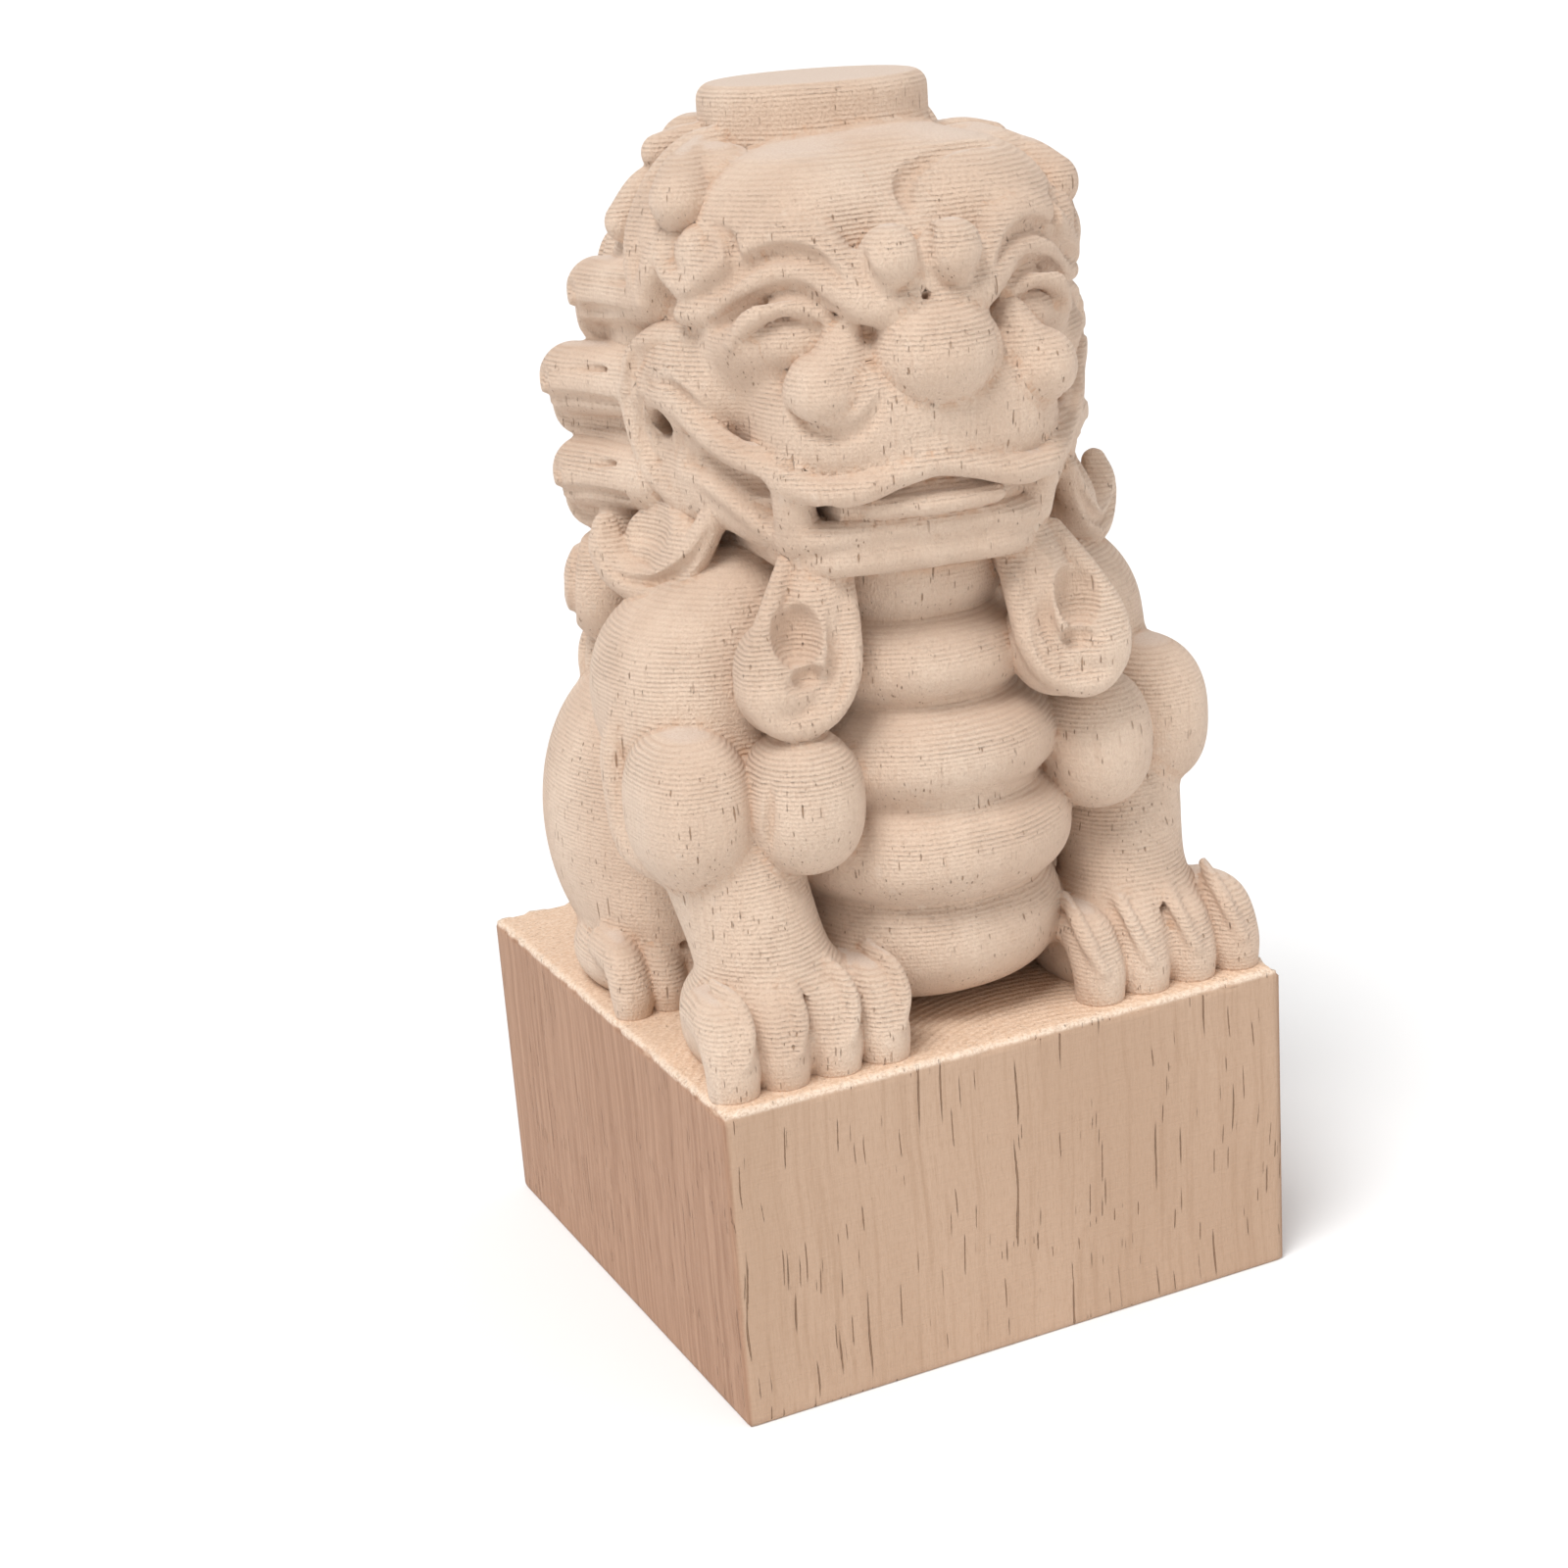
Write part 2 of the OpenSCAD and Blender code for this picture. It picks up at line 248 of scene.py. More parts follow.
# belly: soft folds, each one a little wider than the one above
BELLY_FOLDS = (  # height, half height, half width, reach to the front
    (112, 10, 15.5, 33.5),
    (100.4, 9, 18.5, 37),
    (87.4, 10, 21.5, 40.2),
    (73.8, 11, 23, 41.8),
    (60.4, 12.4, 21.4, 39.4),
)
f = mass("belly", (-30, -46, 44), (30, 20, 126), 1.2)
f.egg((0, -10, 78), (20.5, 28, 34))
for z, half, wide, front in BELLY_FOLDS:
    f.egg((0, -12, z), (wide, front - 12, half), blend=1, power=2.3)

for word, side in sides():
    lo, hi = ((0, -46, 44), (46, 46, 130)) if side > 0 else ((-46, -46, 44), (0, 46, 130))
    # shoulder and foreleg
    f = mass(word + "_foreleg", lo, hi, 1.0)
    body_egg(f, (27, -8, 96), (15.8, 17, 16), side, power=2.2)
    body_egg(f, (20, -10, 106), (13, 13, 11), side, blend=4)
    body_tube(f, [(31, -12, 90, 11), (31.6, -21, 78, 10), (29.8, -26.4, 63, 9.4),
        (29, -28.4, 54, 11.6)], side, blend=3)
    # fore paw: four hooked toes under a row of knuckles
    f = mass(word + "_fore_paw", lo, hi, 1.6)
    body_egg(f, (28.4, -27.5, 53), (13, 13, 9.4), side, power=2.5)
    for x in (17.6, 25.2, 33.2, 40.8):
        body_tube(f, [(x, -30.5, 57.4, 3.2), (x, -36.4, 56.8, 3.8), (x, -39.2, 52.6, 3.8),
            (x, -39.4, 48.6, 3.6)], side, blend=0.9)
    for x in (21.4, 29.2, 37.1):
        body_tube(grooves, [(x, -36, 61, 0.4), (x, -39.6, 58, 0.8), (x, -42.2, 54, 1),
            (x, -42.8, 49, 1)], side)
    for x in (15.8, 23.6, 31.6, 39.6):
        body_tube(f, [(x + 0.4, -33, 62, 0.7), (x - 0.8, -37.6, 60.6, 1.1),
            (x - 0.8, -41, 57.4, 1.2), (x + 0.6, -42.6, 53.4, 0.9)], side, blend=0.9)
    # elbow curls
    f = mass(word + "_elbow_curls", lo, hi, 1.0)
    body_egg(f, (37, -22.4, 84), (8.2, 10.8, 11.4), side, power=2.4)
    body_egg(f, (23.2, -30.6, 84.4), (8.2, 9, 10.4), side, blend=0.6, power=2.2)
    body_tube(f, [(40.6, -12, 98, 1.8), (42.4, -11, 91, 2.2), (42.4, -11.6, 84, 2.5),
        (41.6, -13.6, 77, 2.8), (38.4, -18, 73.4, 2.4)], side, blend=1)
    body_tube(grooves, [(29.4, -26, 97, 0.5), (34, -28, 96.6, 0.9), (38, -25.6, 96.4, 0.9),
        (41.6, -19, 95.6, 0.7)], side)
    body_tube(grooves, [(30.4, -33.4, 93.6, 0.6), (30.4, -35, 86, 0.9), (30.8, -33, 77.4, 0.8)], side)
    body_tube(grooves, [(44.6, -14, 93, 0.6), (45.4, -14.4, 86, 1), (44.6, -16.6, 79, 0.7)], side)
    # haunch and hind paw
    f = mass(word + "_haunch", lo, hi, 1.0)
    body_egg(f, (26.4, 14, 71), (17.5, 22, 26), side)
    body_egg(f, (27, 6, 60), (14, 14, 12), side, blend=3)
    f = mass(word + "_hind_paw", lo, hi, 1.4)
    body_egg(f, (34, 9, 52.5), (9.5, 13, 7), side)
    for x in (29.6, 35.6, 41.4):
        body_tube(f, [(x, 3, 56.4, 3), (x, -2.6, 55.4, 3), (x, -5, 51.6, 3.1),
            (x, -5.2, 48.6, 2.8)], side, blend=0.6)
    for x in (32.6, 38.5):
        body_tube(grooves, [(x, -4, 59, 0.6), (x, -7, 56, 0.9), (x, -8.4, 53, 1), (x, -8.4, 49, 0.9)], side)

# head
f = mass("head", (-44, -46, 106), (46, 46, TOP + 1), 1.2)
head_egg(f, (0, -4, 144), (30, 32, 28))
head_egg(f, (0, -10, 154), (27, 24.6, 18.6), blend=3)
head_egg(f, (0, 0, 124), (22, 22, 14))
head_tube(f, [(0, -34, 150, 5), (0, -30, 156, 6)], blend=3)
head_egg(f, (0, -22, 134.8), (21.5, 19, 9.6), blend=2, power=3)
for word, side in sides():
    # muzzle, cheekbone and eye corner
    head_egg(f, (8, -25, 140), (8, 14.5, 8.5), side, blend=3)
    head_egg(f, (22.5, -10, 139.5), (10, 13.5, 9), side, blend=3)
    head_egg(f, (16.5, -24, 146.5), (9, 8, 6.5), side, blend=3)

f = mass("crown_boss", (-20, -20, 160), (20, 20, TOP + 1), 1.5)


def boss(x, y, z):
    r = np.sqrt(x * x + y * y) - (BOSS_RADIUS - BOSS_RIM)
    h = z - (TOP - BOSS_RIM)
    outside = np.sqrt(np.maximum(r, 0) ** 2 + np.maximum(h, 0) ** 2)
    return outside + np.minimum(np.maximum(r, h), 0) - BOSS_RIM


f.stroke(np.array([-20, -20, 160]), np.array([20, 20, 180]), boss, 0.5)

# nose: a bulb between two nostril scrolls, all of it a little to the left of the head's middle
f = mass("nose", (-24, -46, 128), (30, -15, 160), 0.8)
head_egg(f, (1.8, -37.2, 144), (8.8, 7.2, 7.2))
head_tube(f, [(0.8, -35, 149, 5), (0.4, -31, 155, 4)], blend=1.5)
head_tube(grooves, [(-11.4, -37.4, 150, 0.4), (-8.2, -41.2, 148, 0.9), (-5.8, -43, 143.6, 1.2),
    (-3.2, -43, 138.8, 1), (0, -42.6, 137, 0.5)])
head_tube(grooves, [(7.4, -40.4, 151.2, 0.4), (9.6, -40.4, 147, 1), (9.4, -41.2, 142, 1.2),
    (7, -41.6, 138.6, 1), (3.6, -42.4, 137, 0.5)])
for word, side in sides():
    out = NOSTRIL_OUT[side]
    head_tube(f, [(out - 3.4, -34.4, 147, 2.6), (out - 2.4, -35.6, 143.5, 3.8)], side, blend=1.5)
    head_egg(f, (out, -35.4, 140.2), (5.2, 5.4, 5.2), side, blend=0.8)
    crescent = [(-4.4, -40.6, 145.4, 0.6), (-6.4, -41.4, 143, 1.1), (-6.6, -41.6, 140, 1.4),
        (-4.6, -41.2, 136.6, 1.5), (-1.4, -40.2, 135, 1.4), (2.4, -38, 135.6, 1),
        (5, -35.6, 138, 0.6)]
    head_tube(grooves, [(out + c[0],) + c[1:] for c in crescent], side)

for word, side in sides():
    f = mass(word + "_eye", (-44, -46, 138), (46, -10, 160), 0.6)
    f.egg(in_head((side * 16.4, -30, 146.4)), (5.6, 3.8, 3.9), axes=facing(side * 33), blend=0.5)
    head_tube(f, [(23.6, -28.2, 146.6, 1), (21.3, -30.8, 150, 1.5), (17.3, -32.6, 151.6, 1.6),
        (13.4, -33.6, 150.2, 1.5), (11.2, -34, 147.6, 1)], side, blend=0.6)
    head_tube(grooves, [(21.6, -32.4, 148.4, 0.4), (17.4, -34.4, 149.8, 0.5),
        (13.2, -34.4, 148.8, 0.4)], side)
    head_egg(grooves, (22.7, -32, 146.6), (1.3, 1.3, 1.2), side)

    # brow: the forehead's lower edge, one rolled ridge under it, and a scroll at each end
    f = mass(word + "_brow", (-44, -46, 142), (46, -5, 170), 1.6)
    head_egg(f, (4.3, -38, 157), (4.1, 4.1, 4.2), side)
    head_tube(f, [(27.4, -19.6, 150, 1.6), (24.6, -23, 150.6, 2), (22, -26.6, 153, 2.2),
        (19.3, -29.8, 155, 2.2), (16.4, -31.8, 155.8, 2.2), (13.6, -33.4, 155.1, 2.2),
        (11, -35.2, 153.2, 2.3), (8.4, -36.8, 151.2, 2.3), (5, -37.6, 150.4, 2.4),
        (2, -37.6, 151.6, 1.8), (0.9, -38, 154, 1.2), (1, -38, 157, 1), (2, -37, 160, 0.8)], side,
        blend=0.6, steps=4)
    head_tube(f, [(27, -19.5, 153.5, 1.8), (24.5, -23.5, 155.8, 2.2), (21.3, -27, 158.4, 2.4),
        (17, -30, 160, 2.6), (13, -32.8, 159.3, 2.6), (10.2, -35, 156.5, 2.4),
        (8.2, -37, 153.4, 1.8), (5.5, -38.4, 152, 1.2)], side, blend=1.5, steps=4)
    head_egg(f, (25, -20.2, 157.8), (3.2, 3.4, 3.6), side)
    head_tube(f, [(26.4, -21, 153.4, 1.8), (28.6, -17.6, 155, 1.5), (28.8, -15.4, 158, 1.3),
        (27.6, -15.4, 161, 1)], side)
    head_tube(grooves, [(27.8, -22, 152.2, 0.5), (24.8, -26.4, 153.6, 1), (22, -29.4, 156.2, 1.2),
        (19, -31.8, 157.9, 1.3), (16.2, -33.9, 158.2, 1.3), (13.4, -35.8, 157.2, 1.1),
        (11.2, -37.6, 155, 0.7), (9.2, -39.6, 153, 0.3)], side)
    head_tube(grooves, [(8.6, -39.4, 160, 0.5), (8.9, -39, 157.6, 1.3), (8.2, -39.8, 154.6, 1.5),
        (5.6, -41.4, 152.9, 1), (3, -41.8, 153, 0.5)], side)
    head_tube(grooves, [(24.4, -23, 162, 0.6), (23, -26.6, 160.6, 1), (22.6, -28.6, 158.4, 1.1),
        (23.4, -28.4, 155.6, 0.8), (25, -26.8, 153.6, 0.4)], side)
    head_tube(grooves, [(26, -24.6, 148, 0.9), (22.4, -28.4, 150.8, 1.2), (18.8, -32.4, 153, 1.2),
        (15.4, -34.6, 153.2, 1.2), (12.8, -36, 151.2, 0.8), (10.8, -38.4, 150, 0.3)], side)
head_tube(grooves, [(0, -38.4, 151, 0.5), (0, -41, 153.6, 0.9), (0, -40.6, 157, 1.2), (0, -37.4, 160.4, 1)])

# forehead leaves: broad low petals that end in the brow's scrolls
for word, side in sides():
    f = mass(word + "_forehead_leaf", (-40, -46, 146), (40, 4, 174), 1.5)
    head_egg(f, (10, -17.6, 159.6), (15.4, 15.8, 10.8), side, blend=2.5)

# one petal's edge folds over the other's
head_tube(grooves, [(1, -38.4, 159.6, 0.9), (0.6, -31.4, 163.6, 1.3), (1.6, -29, 165.8, 1.4),
    (4, -27.8, 167.2, 1.3), (9, -26.2, 169, 1.1), (15, -25, 168.8, 0.7)])

# mouth
f = mass("upper_lip", (-36, -46, 118), (40, 0, 146), 1.3)
for word, side in sides():
    head_tube(f, [(0, -40, 130, 1.8), (5.4, -40, 129, 1.9), (10.4, -39.8, 127.6, 2),
        (15, -38.2, 127.3, 2), (18.6, -35.2, 128.6, 1.9), (21.2, -31, 130.4, 2),
        (24, -26.6, 132, 2), (26.6, -21.6, 134.4, 1.9), (28.6, -17.4, 137.2, 1.6),
        (29.8, -13.4, 139, 1.4), (30.6, -9.6, 137.6, 1.4), (30.4, -7.6, 134.6, 1.4),
        (29.6, -8.2, 131, 1.4), (28.4, -11.6, 129.4, 1.4), (27.4, -15.6, 130, 1.6)], side,
        blend=0.5, steps=4)
    head_tube(grooves, [(0, -42, 134, 1.1), (5.4, -42, 132.8, 1.1), (10.4, -41.4, 130.6, 1),
        (15.6, -39.4, 130, 0.8), (19.9, -35, 131.6, 0.6), (22.9, -30.6, 132.8, 0.7),
        (25.2, -26.2, 134.6, 0.8), (27.3, -22.2, 137.2, 0.8), (29, -19.8, 139.6, 0.8),
        (30.8, -17.2, 140.8, 0.7), (32.2, -14, 140, 0.5)], side)
    head_tube(holes, [(35, -18, 134.8, 2.2), (30, -12, 134.2, 2.1), (26, -7.4, 133.8, 1.7)], side)
    head_egg(f, (24.6, -15, 132), (3, 8.6, 4.4), side, blend=1)
    head_tube(f, [(26, -14, 129, 2.6), (23.4, -20, 128.4, 2.6), (20.4, -26, 127.2, 2.6),
        (17.6, -31, 126, 2.2)], side, blend=1)
    head_tube(holes, [(28.4, -17.4, 131, 0.6), (26.6, -20.6, 130.8, 1), (24.8, -24, 129.6, 1.3),
        (22.4, -27.8, 128, 1.4)], side)
    head_egg(holes, (22, -29.6, 127.8), (2.8, 3.4, 2), side)
    head_egg(holes, (15, -38.4, 124.4), (1.5, 3, 1.5), side)

f = mass("lower_jaw", (-36, -46, 106), (40, 4, 138), 1.1)
head_egg(f, (-0.8, -20, 118.8), (18.4, 18.4, 5.2), power=3)
for word, side in sides():
    trim = JAW_TRIM[side]
    head_tube(f, [(0, -36.9, 121.2, 2.1), (8.5, -36.7, 121.2, 2.1), (15 - trim, -34.8, 120.6, 2.2),
        (17.4 - trim, -31, 120.4, 2.6)], side)
    head_tube(f, [(16.4 - trim, -29.4, 119.8, 3.6), (19.2 - trim, -26, 121.8, 4),
        (22 - trim, -21, 124, 4.4), (24.6, -15.6, 126, 4.6), (26.4, -10.6, 127, 4)], side,
        blend=1.2)
    head_tube(f, [(19.4 - trim, -30, 120.4, 1.2), (22.6 - trim, -27, 123.4, 1.5),
        (25.4 - trim, -22.4, 126.4, 1.6), (28, -15.6, 128.2, 1.5)], side, blend=0.8)
    head_tube(f, [(0, -36.4, 117.6, 2.2), (8.5, -36.2, 117.4, 2.3), (15 - trim, -33.6, 117.2, 2.3),
        (18 - trim, -28, 117.6, 2.4), (19 - trim, -16, 119, 3)], side)
    head_tube(grooves, [(0, -39.2, 119.5, 0.6), (8.5, -39, 119.4, 0.6),
        (14 - trim, -38.6, 119, 0.6), (17 - trim, -37.6, 119, 0.4)], side)
f = mass("tongue", (-16, -46, 116), (16, -20, 130), 0.5)
head_tube(f, [(-8.6, -38.6, 124.6, 1.3), (0, -39.6, 124.4, 1.5), (8.6, -38.6, 124.6, 1.3)])
head_egg(f, (-0.8, -20, 124.8), (18.2, 18.6, 5.4), power=3)
for word, side in sides():
    trim = FANG_TRIM[side]
    f = mass(word + "_fang", (-30, -46, 116), (30, -20, 132), 1.2)
    head_tube(f, [(18.2 - trim, -33.8, 129, 3), (18 - trim, -33, 125, 2.9),
        (17.2 - trim, -31.8, 120.6, 3.1)], side)
    # cheek: a raised flange around the drilled swirl
    f = mass(word + "_cheek_swirl", (-44, -34, 116), (44, 6, 152), 0.9)
    head_tube(f, [(26.4, -18, 147, 1.2), (29.6, -12.6, 146.4, 1.6), (32, -9, 143.6, 1.8),
        (32.6, -7, 139.6, 1.8), (32.6, -6, 136, 1.8), (32, -6, 132.4, 1.9), (31, -6.6, 128.6, 2),
        (29.6, -9.6, 125.6, 2.2), (27.4, -14, 123.6, 2.2), (24.6, -19, 122.6, 2)], side)
    head_egg(f, (25.8, -8.6, 134.4), (4.4, 9.4, 9.4), side, blend=1)
    head_tube(f, [(28.6, -18, 142.4, 0.9), (31, -13.6, 141.2, 1.1), (32, -10, 137, 1.2),
        (31.8, -7.6, 132.4, 1.1), (30.4, -8.8, 128.6, 1.1)], side, blend=0.5)
    head_egg(grooves, (33.4, -11.6, 142.6), (1.4, 2.4, 3.6), side)
    head_tube(grooves, [(31.6, -15.9, 142.4, 0.7), (32.7, -12.9, 139.9, 0.8),
        (32.8, -9.6, 136, 0.8), (32.2, -8.4, 132, 0.8), (31, -9.8, 128.8, 0.7)], side)
    head_tube(grooves, [(32.4, -12, 144.2, 0.6), (33.7, -9.2, 141, 0.7), (34.2, -7.7, 137, 0.7),
        (33.7, -7.8, 133, 0.7), (32.5, -8.6, 129.6, 0.7), (31.4, -11, 126.8, 0.6)], side)

SIDE_LOCKS = (  # height, root and tip in plan, radius
    (150.6, (28, -9), (33, 8), 4.8),
    (138, (29.4, -5), (37, 12), 5.2),
    (124.4, (29, -4), (36.6, 11), 5.2),
)
for word, side in sides():
    # beard tuft: a drop hanging from the jaw, hollowed at the top and rolled up at its outer foot
    f = mass(word + "_beard_tuft", (-40, -46, 86), (40, -15, 122), 0.6)
    head_egg(f, (19.8, -33.4, 102), (8.4, 5.4, 8.6), side, power=2.3)
    head_tube(f, [(14.4, -29.6, 117, 4.4), (16.4, -32.4, 110, 4.8), (18.4, -33.4, 104, 5)], side, blend=2)
    rim = [(19.4, -31.4, 117, 1.2), (23.4, -34.6, 110.3, 1.5), (26.2, -36, 103.8, 1.8),
        (25.1, -37, 98.4, 2), (21.5, -37.6, 96, 2.1), (16.5, -37.6, 97.4, 2),
        (13.3, -37, 102, 1.9), (12.3, -35.4, 108, 1.8), (11.8, -32, 115, 1.6)]
    head_tube(f, rim, side, blend=0.8, steps=4)
    head_egg(f, (23.2, -35, 100.6), (5, 4.8, 5), side, blend=1)
    head_tube(f, [(16.6, -34.4, 113, 1.4), (17, -36.6, 108, 1.6), (17.2, -37.4, 104, 1.5),
        (18.6, -37.8, 101.4, 1.2)], side, blend=0.8)
    head_egg(f, (20.2, -38, 108.8), (3.5, 4.4, 4.8), side, blend=0.4, cut=True)
    head_egg(f, (19.2, -39.4, 102.8), (2.6, 2.7, 1.9), side, blend=0.3, cut=True)
    head_tube(f, [(14.8, -37, 114, 0.7), (14.9, -38, 110, 1), (15, -38, 106, 1.3),
        (16.2, -38.8, 102.4, 1.2), (18.4, -39.5, 100, 0.9), (20.8, -40, 99.4, 0.4)], side,
        blend=0.3, cut=True)
    head_tube(f, [(13.4, -37.6, 108, 0.4), (13.8, -38.8, 103, 0.8), (16, -39.6, 99.2, 0.9),
        (19.4, -40.2, 97.4, 0.5)], side, blend=0.3, cut=True)
    head_tube(f, [(22.6, -40.2, 105, 0.5), (22, -39.6, 102.6, 0.8), (20.4, -39.6, 101, 0.8)], side,
        blend=0.3, cut=True)
    # cheek curl: a thick crescent that sweeps back under the jaw and hooks up round a hollow
    f = mass(word + "_cheek_curl", (-46, -30, 100), (46, 16, 130), 0.6)
    head_egg(f, (28.4, -9.4, 116.6), (5, 9, 6.8), side)
    head_egg(f, (32, -5, 116.4), (3.2, 4.6, 4.4), side)
    head_tube(f, [(25.4, -20, 122.6, 2), (29, -16.4, 115.6, 2.5), (33, -10.4, 111.4, 2.9),
        (36.2, -5, 112.6, 3), (37.6, -2.8, 115.8, 2.7), (37.4, -2, 118.8, 1.9)], side, blend=0.8,
        steps=4)
    head_egg(f, (36.4, -11.6, 120.8), (5.8, 8.4, 5.6), side, blend=0.8, cut=True)
    head_tube(f, [(27, -21.8, 120.4, 0.8), (29.6, -19.4, 116, 1.1), (33.2, -14.6, 112.8, 1),
        (36.8, -9.4, 112.4, 0.8), (39.4, -5.6, 114.8, 0.5), (40.4, -3.6, 117.4, 0.3)], side,
        blend=0.3, cut=True)
    # side locks: each one a spoon with a round end and a curled rim under it
    f = mass(word + "_side_mane", (-46, -30, 106), (46, 34, 178), 0.7)
    head_egg(f, (20, 3, 142), (13, 15, 28), side)
    for z, root, tip, r in SIDE_LOCKS:
        start, end = (root[0], root[1], z + 1), (tip[0], tip[1], z)
        head_tube(f, [start + (r,), end + (r,)], side, blend=0.8)
        head_tube(f, [(root[0] + 1.4, root[1] + 2, z - r - 2.2, 1.1),
            (tip[0] - 1, tip[1] - 2, z - r - 2.4, 1.2),
            (tip[0] + 1.6, tip[1] + 3, z - r - 0.6, 1.2), (tip[0] + 1.8, tip[1] + 4.6, z + 1, 1)],
            side, blend=0.6)
        head_tube(f, [(root[0] + 0.6, root[1] + 3, z - r - 0.4, 1),
            (tip[0] - 0.6, tip[1] - 1, z - r - 0.6, 1.1),
            (tip[0] + 1.6, tip[1] + 2.6, z - r + 1.4, 1.1)], side, blend=0.6)
        head_tube(grooves, [(root[0] + 5.2, root[1] + 1, z - 1.6, 0.7),
            (tip[0] + 2.8, tip[1] - 6, z - 2, 1.1), (tip[0] + 4.4, tip[1] - 1, z - 3, 1)], side)
        spiral = []
        for t in np.linspace(0.1, 1, 12):
            turn, wide = 2.2 * math.pi * t, 4 * t
            spiral.append((tip[0] + math.sqrt(r * r - wide * wide) + 0.2,
                tip[1] + wide * math.cos(turn), z + wide * math.sin(turn), 1.1 - 0.4 * t))
        head_tube(f, spiral, side, blend=0.4, steps=2, cut=True)
        head_tube(grooves, [(root[0] + 4.6, root[1] + 1, z + 2.8, 0.5),
            (tip[0] + 3.4, tip[1] - 5, z + 2.6, 0.7), (tip[0] + 5, tip[1] + 0.6, z + 1.4, 0.4)],
            side)
    # forelock beside the boss: a drop in front, strands combed round it and a leaf under it
    low = FORELOCK_DROP[side]
    head_tube(f, [(14.6, 0, 170.4 - low, 2.4), (20, 0.4, 170.4 - low, 2.6),
        (24.4, 0.4, 169.4 - low, 2.6)], side, blend=0.6)
    head_tube(f, [(20, 2, 166 - low, 3), (26, 1.4, 164.6 - low, 3), (30.2, 0, 160.6 - low, 2.9)],
        side, blend=0.6)
    head_tube(f, [(14, -5, 170.4 - low, 2), (20, -5.6, 170.4 - low, 2.2),
        (25.4, -6.4, 167 - low, 2.3), (29.6, -8, 160.6 - low / 2, 2.3), (31, -9.6, 154.6, 2),
        (30.6, -11.4, 150.8, 1.4)], side, blend=0.6)
    head_egg(f, (28, -9, 157.4), (3.4, 6.6, 8), side, blend=1)
    head_tube(f, [(27.4, -15.4, 159.8, 1.6), (29.8, -13.6, 155.6, 2), (30.6, -11.8, 151.2, 1.6)],
        side, blend=1)
    head_egg(f, (19.6, -9.6, 163.6 - low / 2), (7.6, 9, 7.4), side, blend=1.5)
    head_egg(f, (26, -14.4, 157.4), (3.6, 5.4, 4.4), side, blend=1.5)
    head_tube(f, [(20.6, -7.6, 169.6 - low, 2.2), (24.2, -12.8, 167.2 - low, 3.5),
        (26.4, -16.8, 164.6 - low, 4)], side, blend=0.6)
    head_egg(f, (33, 4.6, 116.6), (4.4, 4.4, 5.4), side, blend=0.6)


CURL_TALL = 1.25  # height of a curl over its width
CURL_REACH = 0.84  # how much of a curl's radius its spiral covers


def curls(f, rows, egg, tube, turns=1.3):
    """Rows of tight curls, each one a ball with a spiral cut into its face."""
    for z, out, count, step, r in rows:
        for k in range(count):
            a = math.radians(90 + (k - (count - 1) / 2) * step)
            out_x, out_y = math.cos(a), math.sin(a)
            hand = -1 if out_x > 0.01 else 1
            egg(f, (out * out_x, out * out_y, z), (r, r, r * CURL_TALL), blend=0.8)
            spiral = []
            for t in np.linspace(0.12, 1, 14):
                turn = 2 * math.pi * turns * t
                wide = CURL_REACH * r * t * math.cos(turn) * hand
                rise = CURL_REACH * r * t * math.sin(turn)
                deep = math.sqrt(r * r - wide * wide - rise * rise) + 0.2
                spot_x = out * out_x - out_y * wide + out_x * deep
                spot_y = out * out_y + out_x * wide + out_y * deep
                spiral.append((spot_x, spot_y, z + CURL_TALL * rise, 1.25 - 0.5 * t))
            tube(f, spiral, steps=2, blend=0.4, cut=True)


f = mass("nape_mane", (-46, -10, 104), (46, 46, 178), 0.8)
head_egg(f, (0, 10, 139), (25, 25, 32))
NAPE_ROWS = (  # height, distance from the axis, how many, degrees between them, radius
    (165, 22, 4, 30, 6.6),
    (151, 29.6, 5, 27, 7.2),
    (136, 32.6, 6, 25, 7.2),
    (121, 31.5, 5, 25, 7.2),
)
BACK_ROWS = (
    (107, 34.5, 6, 25, 7),
    (94, 35, 5, 26, 6.8),
)
curls(f, NAPE_ROWS, head_egg, head_tube)
f = mass("back_mane", (-46, -15, 80), (46, 46, 124), 0.8)
f.egg((0, 17, 103), (32, 19, 16))
curls(f, BACK_ROWS, body_egg, body_tube)

# tail: a flame of strands laid up the back
f = mass("tail", (-24, 20, 44), (24, 46, 104), 0.8)
f.tube([(0, 34, 52, 4), (0, 38, 62, 5.4), (0, 38.6, 76, 5.6), (0, 37, 87, 3.6), (0, 35, 93, 1.6)])
for word, side in sides():
    body_tube(f, [(1, 37, 58, 4), (7, 38, 63, 4.4), (12, 36.4, 70, 4), (13.6, 34, 78, 2.8),
        (11.6, 34, 83, 1.6)], side, blend=0.8)
    body_tube(f, [(1, 38, 70, 3.6), (6, 38, 75, 3.4), (8.4, 36.4, 82, 2.6), (7.4, 35.6, 88, 1.4)],
        side, blend=0.8)
    body_tube(grooves, [(1.8, 43.4, 58, 0.6), (2.4, 44.6, 68, 0.8), (2.2, 44.2, 78, 0.7),
        (1, 41.4, 87, 0.5)], side)
    body_tube(grooves, [(6, 42.6, 62.6, 0.5), (11.4, 40.8, 69, 0.7), (13.6, 37.6, 76, 0.5)], side)

# ---------- all masses joined into one surface, then split again along their creases ----------

total = Field(*WHOLE)
for name, (f, blend) in masses.items():
    part = tuple(slice(a, b) for a, b in zip(f.i0, f.i1))
    total.d[part] = smooth_min(total.d[part], f.d, blend)

total.d = smooth_max(total.d, np.minimum(-grooves.d, total.d + GROOVE_DEPTH), 0.4)
total.d = smooth_max(total.d, -holes.d, 0.5)

